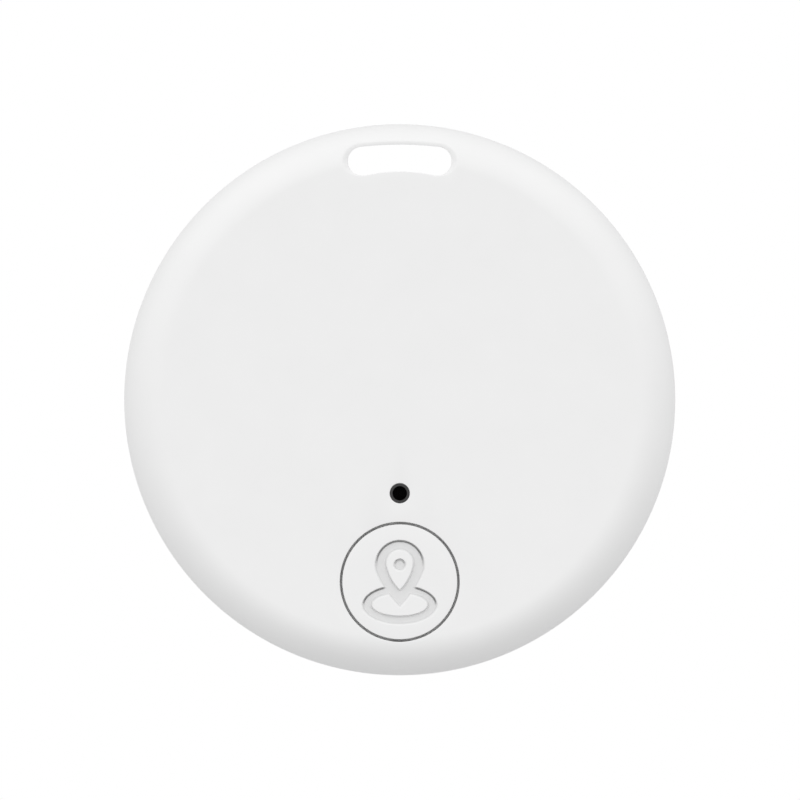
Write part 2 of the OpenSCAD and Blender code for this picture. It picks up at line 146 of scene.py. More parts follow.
def edge_chamfer(tilt, blend, tight):
    """The same for an edge of width 1: a blend into a flat bevel, then a tight round to vertical."""
    steps = 5
    slope = math.tan(math.radians(tilt))
    rows = [(1 - blend * t, slope * blend * t * t / 2) for t in (0, 0.25, 0.5, 0.75, 1)]
    flat = 1 - blend - tight
    fall = slope * (blend / 2 + flat)
    rows += [(tight + flat / 2, fall - slope * flat / 2), (tight, fall)]
    low = math.radians(tilt)
    ball = tight / (1 - math.sin(low))
    rows += [(ball * (1 - math.sin(t)), fall + ball * (math.cos(low) - math.cos(t)))
             for t in (low + (math.pi / 2 - low) * i / steps for i in range(1, steps + 1))]
    return rows


def slot_loop(grow):
    """The lanyard slot's outline, made larger by grow: a number, or a function of the outward
    direction's y."""
    end_x, end_y, end_r = 2.72, 17.32, 1.05
    outer_y, outer_r, inner_y, inner_r = -7.2713, 25.7913, 5.1436, 11.4264
    a_out = math.degrees(math.atan2(end_y - outer_y, end_x))
    a_in = math.degrees(math.atan2(end_y - inner_y, end_x))
    arcs = [                         # centre, radius, first and last angle, points, outward side
        ((0, outer_y), outer_r, a_out, 180 - a_out, 44, 1),
        ((-end_x, end_y), end_r, 180 - a_out, 360 - a_in, 56, 1),
        ((0, inner_y), inner_r, 180 - a_in, a_in, 40, -1),
        ((end_x, end_y), end_r, 180 + a_in, 360 + a_out, 56, 1),
    ]
    loop = []
    for centre, r, a, b, n, side in arcs:
        for i in range(n):
            angle = a + (b - a) * i / n
            more = grow(side * math.sin(math.radians(angle))) if callable(grow) else grow
            loop.append(polar(r + side * more, angle, centre))
    return loop


def inside(points, loop):
    """Which points lie inside a closed loop."""
    p, q = np.asarray(points, float).reshape(-1, 2), np.asarray(loop, float)
    x1, y1 = q[:, 0], q[:, 1]
    x2, y2 = np.roll(x1, -1), np.roll(y1, -1)
    px, py = p[:, :1], p[:, 1:]
    crosses = (y1 > py) != (y2 > py)
    with np.errstate(divide="ignore", invalid="ignore"):
        at = x1 + (py - y1) * (x2 - x1) / (y2 - y1)
    return (crosses & (px < at)).sum(1) % 2 == 1


def clear_of(points, loops, margin):
    """The points that are outside every loop, by at least margin."""
    p = np.asarray(points, float)
    keep = np.ones(len(p), bool)
    for loop in loops:
        q = np.asarray(loop, float)
        keep &= ~inside(p, q)
        gap = np.sqrt(((p[:, None, :] - q[None, :, :]) ** 2).sum(2)).min(1)
        keep &= gap > margin
    return [tuple(v) for v in p[keep]]


def rounded(corners, radius, steps=4, closed=False):
    """A polyline with its corners rounded. A corner may carry its own radius as a third number."""
    n, out = len(corners), []
    for i, corner in enumerate(corners):
        p = Vector(corner[:2])
        r = corner[2] if len(corner) > 2 else radius
        if r <= 0 or (not closed and i in (0, n - 1)):
            out.append(tuple(p))
            continue
        a, b = Vector(corners[i - 1][:2]) - p, Vector(corners[(i + 1) % n][:2]) - p
        half = a.angle(b) / 2
        cut = min(r / math.tan(half), a.length * 0.45, b.length * 0.45)
        r = cut * math.tan(half)
        start, end = p + a.normalized() * cut, p + b.normalized() * cut
        centre = p + (a.normalized() + b.normalized()).normalized() * (r / math.sin(half))
        u, v = start - centre, end - centre
        sweep = u.angle_signed(v)
        for k in range(steps + 1):
            t = -sweep * k / steps
            out.append(tuple(centre + Vector((
                u.x * math.cos(t) - u.y * math.sin(t), u.x * math.sin(t) + u.y * math.cos(t)))))
    return out


# ------------------------ mesh building
class Shape:
    """A mesh in the making, in millimetres."""

    def __init__(self):
        self.co, self.faces = [], []

    def add(self, points):
        first = len(self.co)
        self.co += [tuple(float(c) for c in p) for p in points]
        return list(range(first, len(self.co)))

    def level(self, loop, z):
        """Adds a plan loop at height z, a number or a function of x and y."""
        return self.add([(x, y, z(x, y) if callable(z) else z) for x, y in loop])

    def plan(self, loop):
        return [self.co[i][:2] for i in loop]

    def strip(self, a, b):
        """The band of faces between two closed loops of as many points."""
        n = len(a)
        for i in range(n):
            j = (i + 1) % n
            self.faces.append((a[i], a[j], b[j], b[i]))

    def strips(self, rows):
        for a, b in zip(rows, rows[1:]):
            self.strip(a, b)

    def fill(self, outer, holes, grid, z, flat=lambda x, y: (x, y), extra_edges=()):
        """Triangles inside the loop outer and outside the loops holes, with the points grid between them."""
        ids, pts, edges = [], [], []
        for loop in (outer, *holes):
            k, n = len(ids), len(loop)
            ids += loop
            pts += [flat(*self.co[i][:2]) for i in loop]
            edges += [(k + i, k + (i + 1) % n) for i in range(n)]
        k = len(ids)
        ids += self.add([(x, y, z(x, y) if callable(z) else z) for x, y in grid])
        pts += [flat(x, y) for x, y in grid]
        edges += [(k + a, k + b) for a, b in extra_edges]
        made = delaunay_2d_cdt([Vector(p) for p in pts], edges, [], 0, 1e-6)
        uv = np.array([tuple(p) for p in made[0]])
        tris = np.array([t for t in made[2]])
        middle = uv[tris].mean(1)
        keep = inside(middle, pts[:len(outer)])
        start = len(outer)
        for loop in holes:
            keep &= ~inside(middle, pts[start:start + len(loop)])
            start += len(loop)
        name = [ids[o[0]] if o else -1 for o in made[3]]
        if min(name) < 0:
            raise ValueError("crossing edges in a fill")
        for t in tris[keep]:
            self.faces.append(tuple(name[i] for i in t))

    def lathe(self, profile, n, centre=(0.0, 0.0), closed=False, arc=None, warp=None):
        """Turns a profile of (radius, height) about a vertical axis, all round or over arc, in degrees."""
        a0, a1 = arc or (0.0, 360.0)
        count = n + 1 if arc else n
        columns = []
        for i in range(count):
            a = a0 + (a1 - a0) * i / n
            pts = [warp(r, z, a) if warp else (r, z) for r, z in profile]
            columns.append(self.add([(*polar(r, a, centre), z) for r, z in pts]))
        m = len(profile)
        for i in range(count - 1 if arc else count):
            a, b = columns[i], columns[(i + 1) % count]
            for k in range(m if closed else m - 1):
                j = (k + 1) % m
                self.faces.append((a[k], a[j], b[j], b[k]))
        if arc:
            self.faces += [tuple(columns[0]), tuple(reversed(columns[-1]))]

    def piece(self, name, body, slot, replaced, sharp=38):
        """The finished object, in metres: welded, normals outward, smooth but for its sharp edges."""
        mesh = bpy.data.meshes.new(name)
        mesh.from_pydata([tuple(c * MM for c in v) for v in self.co], [], self.faces)
        bm = bmesh.new()
        bm.from_mesh(mesh)
        bmesh.ops.remove_doubles(bm, verts=bm.verts, dist=2e-8)
        bmesh.ops.dissolve_degenerate(bm, dist=1e-9, edges=bm.edges)
        loose = [v for v in bm.verts if not v.link_faces]
        bmesh.ops.delete(bm, geom=loose, context="VERTS")
        bmesh.ops.recalc_face_normals(bm, faces=bm.faces)
        bm.to_mesh(mesh)
        bm.free()
        mesh.shade_smooth()
        mesh.set_sharp_from_angle(angle=math.radians(sharp))
        obj = bpy.data.objects.new(name, mesh)
        bpy.context.scene.collection.objects.link(obj)
        mesh.materials.append(materials[slot])
        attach(obj, body)
        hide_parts(replaced)
        return obj


# ------------------------ materials
class Nodes:
    """Short ways to build one material's nodes."""

    def __init__(self, name):
        self.name = name
        self.material = bpy.data.materials.new(name)
        self.material.use_nodes = True
        self.tree = self.material.node_tree
        self.shader = self.tree.nodes["Principled BSDF"]
        self.place = self.add("ShaderNodeTexCoord").outputs["Object"]

    def add(self, kind, **values):
        node = self.tree.nodes.new(kind)
        for key, value in values.items():
            setattr(node, key, value)
        return node

    def link(self, source, target):
        self.tree.links.new(source, target)

    def set(self, node, socket, value):
        if isinstance(value, bpy.types.NodeSocket):
            self.link(value, node.inputs[socket])
        else:
            node.inputs[socket].default_value = value

    def noise(self, size, detail, roughness=0.5, where=None):
        """Noise whose features are size millimetres across."""
        node = self.add("ShaderNodeTexNoise")
        self.link(where or self.place, node.inputs["Vector"])
        node.inputs["Scale"].default_value = 1 / (size * MM)
        node.inputs["Detail"].default_value = detail
        node.inputs["Roughness"].default_value = roughness
        return node.outputs["Fac"]

    def cells(self, size, output="Distance", metric="EUCLIDEAN"):
        """Voronoi regions about size millimetres across."""
        node = self.add("ShaderNodeTexVoronoi", distance=metric)
        self.link(self.place, node.inputs["Vector"])
        node.inputs["Scale"].default_value = 1 / (size * MM)
        return node.outputs[output]

    def math(self, operation, a, b=0.0):
        node = self.add("ShaderNodeMath", operation=operation)
        self.set(node, 0, a)
        self.set(node, 1, b)
        return node.outputs[0]

    def ranged(self, value, low, high, out_low, out_high):
        """value from low to high, laid out from out_low to out_high and held there beyond."""
        node = self.add("ShaderNodeMapRange")
        for key, v in (("Value", value), ("From Min", low), ("From Max", high),
                       ("To Min", out_low), ("To Max", out_high)):
            self.set(node, key, v)
        return node.outputs["Result"]

    def mix(self, factor, a, b):
        node = self.add("ShaderNodeMix", data_type="RGBA")
        self.set(node, "Factor", factor)
        for key, value in (("A", a), ("B", b)):
            socket = [s for s in node.inputs if s.name == key and s.type == "RGBA"][0]
            if isinstance(value, bpy.types.NodeSocket):
                self.link(value, socket)
            else:
                socket.default_value = (*value, 1)
        return [s for s in node.outputs if s.type == "RGBA"][0]

    def axes(self):
        node = self.add("ShaderNodeSeparateXYZ")
        self.link(self.place, node.inputs[0])
        return node.outputs

    def scaled(self, x, y, z):
        node = self.add("ShaderNodeMapping")
        self.link(self.place, node.inputs["Vector"])
        node.inputs["Scale"].default_value = (x, y, z)
        return node.outputs["Vector"]

    def bump(self, height, microns, after=None):
        node = self.add("ShaderNodeBump")
        node.inputs["Strength"].default_value = 1.0
        node.inputs["Distance"].default_value = microns * 1e-6
        self.link(height, node.inputs["Height"])
        if after:
            self.link(after, node.inputs["Normal"])
        self.link(node.outputs["Normal"], self.shader.inputs["Normal"])
        return node.outputs["Normal"]

    def finish(self, colour, rough, metallic=0.0, **others):
        """Fills in the shader and gives the slot's name with its material."""
        self.set(self.shader, "Base Color", colour)
        self.set(self.shader, "Roughness", rough)
        self.shader.inputs["Metallic"].default_value = metallic
        for key, value in others.items():
            self.shader.inputs[key.replace("_", " ")].default_value = value
        return self.name, self.material


def grey(v):
    return (v, v, v)


def moulded(name, dark, light, rough=(0.36, 0.44), grain=0.16, depth=0.5, sunk=()):
    """Moulded plastic: a faint mottle, a fine eroded grain, and slow changes of gloss.
    sunk holds rows of (lower height, upper height, colour) for the depths of the button's pictogram: painted
    shade, greyer deeper down."""
    n = Nodes(name)
    mottle = n.ranged(n.noise(3.1, 3), 0.3, 0.7, 0, 1)
    colour = n.mix(mottle, dark, light)
    if sunk:
        x, y, z = n.axes()
        off = [n.math("POWER", n.math("SUBTRACT", v, c * MM), 2.0) for v, c in zip((x, y), BUTTON)]
        marked = n.math("LESS_THAN", n.math("ADD", *off), (MARK_R * MM) ** 2)
        for low, high, shade in sunk:
            # painted shade: the colour greys with depth, within the pictogram's circle
            deep = n.ranged(z, low * MM, high * MM, 1, 0)
            colour = n.mix(n.math("MULTIPLY", deep, marked), colour, shade)
    gloss = n.ranged(n.noise(1.3, 4), 0.3, 0.7, *rough)
    fine = n.bump(n.noise(grain, 3, 0.6), depth)
    n.bump(n.noise(7, 1), depth * 4, fine)
    return n.finish(colour, gloss)


def metal(name, dark, light, rough, size, stretch=None, depth=0.4):
    """Metal with rolling marks along one axis, or an even satin grain."""
    n = Nodes(name)
    where = n.scaled(*stretch) if stretch else None
    grain = n.noise(size, 5, 0.65, where)
    colour = n.mix(n.ranged(grain, 0.3, 0.7, 0, 1), dark, light)
    gloss = n.ranged(n.noise(size * 2.3, 3, 0.5, where), 0.3, 0.7, *rough)
    n.bump(grain, depth)
    return n.finish(colour, gloss, 1.0)


def speckled(name, base, fleck, rough, size, amount=0.5, depth=1.0):
    """Ceramic, epoxy or ferrite: fine flecks in a plain body."""
    n = Nodes(name)
    fleck_mask = n.ranged(n.noise(size, 4, 0.7), 0.5, 0.75, 0, amount)
    colour = n.mix(fleck_mask, base, fleck)
    gloss = n.ranged(n.noise(size * 5, 2), 0.3, 0.7, *rough)
    n.bump(n.noise(size, 4, 0.7), depth)
    return n.finish(colour, gloss)


def woven_black():
    """Black cloth of fine wires."""
    n = Nodes("black_mesh")
    x, y, _ = n.axes()
    wires = 2 * math.pi / (MESH_PITCH * MM)
    warp, weft = (n.math("SINE", n.math("MULTIPLY", v, wires)) for v in (x, y))
    weave = n.math("MULTIPLY", warp, weft)
    colour = n.mix(n.ranged(weave, -0.6, 0.6, 0, 1), grey(0.001), grey(0.004))
    n.bump(weave, 12)
    return n.finish(colour, n.ranged(weave, -1, 1, 0.85, 0.7), Specular_IOR_Level=0.2)


def open_foam():
    """Dark foam with fine pores."""
    n = Nodes("foam")
    pores = n.cells(0.22)
    fine = n.noise(0.09, 3, 0.6)
    # painted shade: darker at the bottoms of the pores
    colour = n.mix(n.ranged(pores, 0.1, 0.75, 0, 1), grey(0.03), grey(0.085))
    first = n.bump(pores, 45)
    n.bump(fine, 10, first)
    return n.finish(colour, 0.92)


def solder_mask():
    """Green lacquer over bundles of copper tracks, with small bare vias."""
    n = Nodes("solder_mask")
    x, y, _ = n.axes()
    region = n.cells(5.2, "Color", "CHEBYCHEV")

    def bundle(across, low, high):
        """Parallel tracks in the regions whose random number lies between low and high."""
        wave = n.math("SINE", n.math("MULTIPLY", across, 2 * math.pi / (0.55 * MM)))
        over, under = n.math("GREATER_THAN", region, low), n.math("LESS_THAN", region, high)
        return n.math("MULTIPLY", n.ranged(wave, 0.3, 0.5, 0, 1), n.math("MULTIPLY", over, under))

    slant = n.math("MULTIPLY", n.math("ADD", x, y), math.sqrt(0.5))
    track = n.math("ADD", bundle(x, 0.0, 0.38), bundle(y, 0.62, 1.0))
    track = n.math("ADD", track, bundle(slant, 0.45, 0.55))
    vias = n.ranged(n.cells(2.9), 0.055, 0.075, 1, 0)
    cloud = n.ranged(n.noise(2.2, 3), 0.3, 0.7, 0, 1)
    lacquer = n.mix(cloud, (0.006, 0.075, 0.03), (0.009, 0.095, 0.04))
    lacquer = n.mix(n.math("MULTIPLY", track, 0.6), lacquer, (0.02, 0.16, 0.065))
    colour = n.mix(vias, lacquer, (0.55, 0.5, 0.36))
    n.bump(n.math("ADD", n.math("MULTIPLY", track, 0.5), vias), 14)
    return n.finish(colour, n.ranged(n.noise(0.7, 2), 0.3, 0.7, 0.22, 0.34), 0.0, Coat_Weight=0.3,
                    Coat_Roughness=0.2)


def turned_steel(name, centre, dimples):
    """Stamped cell steel: faint turning rings about its axis, with fine dimples on the cap."""
    n = Nodes(name)
    x, y, _ = n.axes()
    dx = n.math("SUBTRACT", x, centre[0] * MM)
    dy = n.math("SUBTRACT", y, centre[1] * MM)
    r = n.math("SQRT", n.math("ADD", n.math("MULTIPLY", dx, dx), n.math("MULTIPLY", dy, dy)))
    rings = n.math("SINE", n.math("MULTIPLY", r, 2 * math.pi / (0.11 * MM)))
    wear = n.noise(1.1, 5, 0.6)
    colour = n.mix(n.ranged(wear, 0.3, 0.7, 0, 1), (0.6, 0.6, 0.59), (0.72, 0.715, 0.7))
    gloss = n.ranged(n.noise(2.4, 4), 0.3, 0.7, 0.2, 0.34)
    first = n.bump(rings, 0.25)
    if dimples:
        spots = n.ranged(n.cells(0.34), 0.1, 0.42, 0, 1)
        n.bump(spots, 7, first)
    else:
        n.bump(wear, 0.8, first)
    return n.finish(colour, gloss, 1.0)


SHELL = grey(0.845), grey(0.855)
PAINTED_RECESS_SHADE = (                             # painted shade: the pictogram's floor is greyed, and the crease below it darker still
    (TOP - 0.17, TOP - 0.08, grey(0.735)),
    (TOP - 0.44, TOP - 0.25, grey(0.43)),
)
materials = dict((
    moulded("shell_plastic", *SHELL),
    moulded("button_plastic", *SHELL, grain=0.12, depth=0.35, sunk=PAINTED_RECESS_SHADE),
    moulded("black_plastic", grey(0.012), grey(0.018), rough=(0.34, 0.46), grain=0.08),
    woven_black(),
    open_foam(),
    moulded("switch_plastic", grey(0.02), grey(0.03), rough=(0.4, 0.52), grain=0.07),
    metal("spring_steel", (0.56, 0.55, 0.53), (0.68, 0.67, 0.65), (0.22, 0.34), 0.2),
    metal("tin_plate", (0.6, 0.6, 0.6), (0.74, 0.74, 0.73), (0.3, 0.46), 0.25),
    solder_mask(),
    speckled("chip_epoxy", grey(0.014), grey(0.05), (0.5, 0.62), 0.05, 0.5, 2.0),
    metal("crystal_metal", (0.62, 0.6, 0.55), (0.76, 0.74, 0.69), (0.24, 0.36), 0.3, (0.12, 1, 1)),
    speckled("antenna_ceramic", (0.42, 0.52, 0.58), (0.62, 0.7, 0.74), (0.38, 0.5), 0.08),
    speckled("ferrite", (0.045, 0.043, 0.045), (0.12, 0.115, 0.11), (0.5, 0.66), 0.07, 0.7, 2.5),
    speckled("capacitor_ceramic", (0.36, 0.25, 0.15), (0.5, 0.37, 0.24), (0.4, 0.55), 0.06),
    speckled("resistor_ceramic", grey(0.02), grey(0.07), (0.35, 0.5), 0.05),
    metal("piezo_brass", (0.62, 0.42, 0.16), (0.78, 0.56, 0.25), (0.24, 0.38), 0.7, (1, 0.1, 1)),
    metal("piezo_silver", (0.66, 0.66, 0.65), (0.8, 0.8, 0.78), (0.36, 0.52), 0.2),
    speckled("adhesive", (0.55, 0.53, 0.46), (0.7, 0.68, 0.6), (0.3, 0.45), 0.3, 0.6, 3.0),
    moulded("lead_red", (0.42, 0.012, 0.01), (0.5, 0.018, 0.014), rough=(0.32, 0.42), grain=0.1),
    moulded("lead_black", grey(0.012), grey(0.02), rough=(0.32, 0.42), grain=0.1),
    metal("solder", (0.5, 0.5, 0.5), (0.68, 0.68, 0.67), (0.22, 0.4), 0.35, None, 2.0),
    metal("contact_nickel", (0.6, 0.58, 0.54), (0.73, 0.71, 0.66), (0.2, 0.34), 0.35, (1, 0.1, 1)),
    turned_steel("cell_steel", CELL, False),
    turned_steel("cell_cap_steel", CELL, True),
    moulded("gasket_plastic", grey(0.5), grey(0.58), rough=(0.4, 0.55), grain=0.1),
))


# ------------------------ front and rear covers
SLOT_EDGE = edge_chamfer(36, 0.45, 0.06)              # tilt in degrees, and shares of the bevel's breadth
BUTTON_EDGE = edge_round(0.05)
PORT_EDGE = edge_round(0.05)
CDT_ANGLE = 53.0                     # the rounded edge is triangulated freely up to here


def slot_width(up):
    """Breadth of the slot's bevel where its edge faces up the tag (1), sideways (0) or down the tag (-1)."""
    sideways, less_up, less_down = 0.54, 0.18, 0.48
    return sideways - less_up * max(0.0, up) ** 2 - less_down * max(0.0, -up) ** 1.5


def slot_widths():
    """The bevel's breadth at each point of the slot's outline."""
    widths = []
    slot_loop(lambda up: widths.append(slot_width(up)) or 0.0)
    return widths


def notch(x, z):
    """Depth of the fingernail scoop under the parting line, on the tag's lower side."""
    if abs(x) >= NOTCH_W or not NOTCH_Z < z <= SPLIT:
        return 0.0
    across = 1 - (x / NOTCH_W) ** 4
    return NOTCH_DEPTH * across * math.sin(math.pi / 2 * (z - NOTCH_Z) / (SPLIT - NOTCH_Z))


def cover(shape, side, face, inner, rear_notch=False, groove=False, holes=()):
    """One half of the housing as a closed shell. side is 1 for the front, -1 for the rear.
    holes are (centre, radius, edge profile, points)."""
    def outer_z(x, y):
        return face - side * rim_drop(math.hypot(x, y), EDGE_R)

    def inner_z(x, y):
        return inner - side * rim_drop(math.hypot(x, y), INNER_EDGE_R)

    def sunk_loop(loop_at, profile):
        """Rows of an edge, from the skin down to the hole's wall."""
        return [shape.level(loop_at(d), lambda x, y: outer_z(x, y) - side * drop) for d, drop in profile]

    # the outer skin, with every edge that opens in it
    slot_rows = []
    widths = slot_widths()
    for share, fall in SLOT_EDGE:
        outline = slot_loop(lambda up: share * slot_width(up))
        slot_rows.append(shape.add([
            (x, y, outer_z(x, y) - side * fall * w) for (x, y), w in zip(outline, widths)]))
    hole_rows = [
        sunk_loop(lambda d: circle(r + d, n, centre), profile) for centre, r, profile, n in holes
    ]
    for rows in (slot_rows, *hole_rows):
        shape.strips(rows)
    rim = [90 + 360 * i / RIM_N for i in range(RIM_N)]
    angles = [CDT_ANGLE + (90 - CDT_ANGLE) * k / 8 for k in range(9)]
    rows = [(FACE_R + EDGE_R * math.sin(math.radians(a)),
             face - side * EDGE_R * (1 - math.cos(math.radians(a)))) for a in angles]
    end = SPLIT + side * SEAM
    corner = rounded([(TAG_R, end + side * 0.5), (TAG_R, end, 0.12), (TAG_R - SEAM, SPLIT)], 0.1)
    start = rows[-1][1]
    count = max(2, int(abs(start - end) / 0.1))
    rows += [(TAG_R, start + (corner[0][1] - start) * k / count) for k in range(1, count)]
    rows += corner if not rear_notch else [
        (TAG_R, corner[0][1] + (corner[1][1] - corner[0][1]) * k / 5) for k in range(5)] + corner[1:]
    rim_rows = []
    for r, z in rows:
        points = []
        for a in rim:
            x, y = polar(r, a)
            if rear_notch and y < 0:
                x, y = polar(r - notch(x, z), a)
            points.append((x, y, z))
        rim_rows.append(shape.add(points))
    shape.strips(rim_rows)
    flat = unroll(EDGE_R)
    grid = []
    for k, a in enumerate((0, 1.5, 4, 8, 12, 16, 20, 24, 28, 32, 36, 40, 44, 48.5)):
        grid += circle(FACE_R + EDGE_R * math.sin(math.radians(a)), RIM_N, turn=90 + (k % 2) * 180 / RIM_N)
    for r, n in ((17.2, 360), (16.9, 240), (16.0, 120), (13.5, 72), (10, 60), (6, 36), (2.5, 16)):
        grid += circle(r, n, turn=1.3)
    edges = [slot_rows[0]] + [rows[0] for rows in hole_rows]
    grid = clear_of(grid, [shape.plan(loop) for loop in edges], 0.12)
    shape.fill(rim_rows[0], edges, grid, outer_z, flat)

    # the cavity: its side wall and, round the slot, the tower's wall form one closed loop of columns
    tower = slot_loop(SLOT_WALL)
    far = [math.hypot(*p) > CAVITY_R for p in tower]
    first = next(i for i in range(len(tower)) if far[i] and not far[(i + 1) % len(tower)])
    last = next(i for i in range(len(tower)) if not far[i] and far[(i + 1) % len(tower)])

    def crossing(i):
        """Where the tower's wall between points i and i + 1 meets the side wall."""
        p, q = Vector(tower[i]), Vector(tower[(i + 1) % len(tower)])
        low, high = 0.0, 1.0
        for _ in range(40):
            t = (low + high) / 2
            if (p.lerp(q, t).length > CAVITY_R) == (p.length > CAVITY_R):
                low = t
            else:
                high = t
        return tuple(p.lerp(q, low))

    left, right = crossing(first), crossing(last)
    a_left = math.degrees(math.atan2(left[1], left[0]))
    a_right = math.degrees(math.atan2(right[1], right[0]))
    span = 360 - (a_left - a_right)
    arc_n = RIM_N - 40               # steps round the side wall
    arc = [(a_right - span * i / arc_n) for i in range(1, arc_n)]
    inner_loop = [left] + tower[first + 1:last + 1] + [right]
    plan = inner_loop + [polar(CAVITY_R, a) for a in arc]
    top_row = shape.level(plan, inner_z)
    shoulder = inner - side * INNER_EDGE_R
    if groove:
        levels = [(shoulder - 0.5, 0), (shoulder - 0.9, 0)]
        for a in range(8, 173, 12):
            levels.append((SNAP_Z + GROOVE_R * math.cos(math.radians(a)),
                           max(0.0, GROOVE_R * math.sin(math.radians(a)) - 0.03)))
        levels += [(SPLIT + 0.2, 0), (SPLIT, 0)]
    else:
        levels = [((shoulder + SPLIT) / 2, 0), (SPLIT, 0)]
    wall_rows = [top_row]
    for z, out in levels:
        points = [(x, y, z) for x, y in inner_loop]
        for a in arc:
            fade = smooth(min(a_right - a, a - (a_right - span)) / 5)
            points.append((*polar(CAVITY_R + out * fade, a), z))
        wall_rows.append(shape.add(points))
    shape.strips(wall_rows)
    ceiling_rows = [shape.level(circle(r, n, centre), inner_z) for centre, r, _, n in holes]
    flat = unroll(INNER_EDGE_R)
    grid = []
    for k, a in enumerate((0, 8, 18, 28, 38, 48, 58, 68, 78)):
        grid += circle(FACE_R + INNER_EDGE_R * math.sin(math.radians(a)), 360, turn=(k % 2) * 0.5)
    for r, n in ((16.8, 180), (15.5, 120), (12.5, 72), (9, 60), (5, 36), (2, 12)):
        grid += circle(r, n, turn=0.7)
    grid = clear_of(grid, [tower] + [shape.plan(loop) for loop in ceiling_rows], 0.12)
    shape.fill(top_row, ceiling_rows, grid, inner_z, flat)

    # walls of the slot and of the holes, and the parting face
    slot_wall = [slot_rows[-1]]
    for t in (0.5, 1.0):
        slot_wall.append(shape.add([
            (*shape.co[i][:2], shape.co[i][2] * (1 - t) + SPLIT * t) for i in slot_rows[-1]]))
    shape.strips(slot_wall)
    for rows, low in zip(hole_rows, ceiling_rows):
        shape.strip(rows[-1], low)
    shape.fill(rim_rows[-1], [wall_rows[-1], slot_wall[-1]], (), SPLIT)


def build_front():
    s = Shape()
    cover(s, 1, TOP, CEILING, groove=True, holes=[
        (BUTTON, BUTTON_R + BUTTON_GAP, BUTTON_EDGE, 180), (PORT, PORT_R, PORT_EDGE, 72)])
    under, over = board_low.z, board_high.z
    root = CEILING + 0.3             # the posts and the ring start inside the wall
    for a in POSTS:                  # post, peg and the head formed over the board
        s.lathe(rounded([(0, under - 0.36), (0.55, under - 0.35, 0.3), (0.95, under - 0.2, 0.25),
                         (HEAD_R, under, 0.06), (PEG_R, under, 0.03), (PEG_R, over, 0.03),
                         (POST_R, over, 0.08), (POST_R, root), (0, root)], 0.05),
                40, polar(POST_RING, a))
    s.lathe(rounded([(SEAT_IN, SEAT_LOW), (SEAT_OUT, SEAT_LOW), (SEAT_OUT, root), (SEAT_IN, root)],
                    0.06, 3, True), 144, SOUNDER, True)
    s.piece("front_cover_shell", "front_case", "shell_plastic", "front_cover")


def lip_arc(grow):
    """Half the angle that the slot, made larger by grow, takes from the lip."""
    return max(math.degrees(math.atan2(x, y)) for x, y in slot_loop(grow)
               if LIP_IN - 0.3 < math.hypot(x, y) < LIP_R + 0.2 and x > 0)


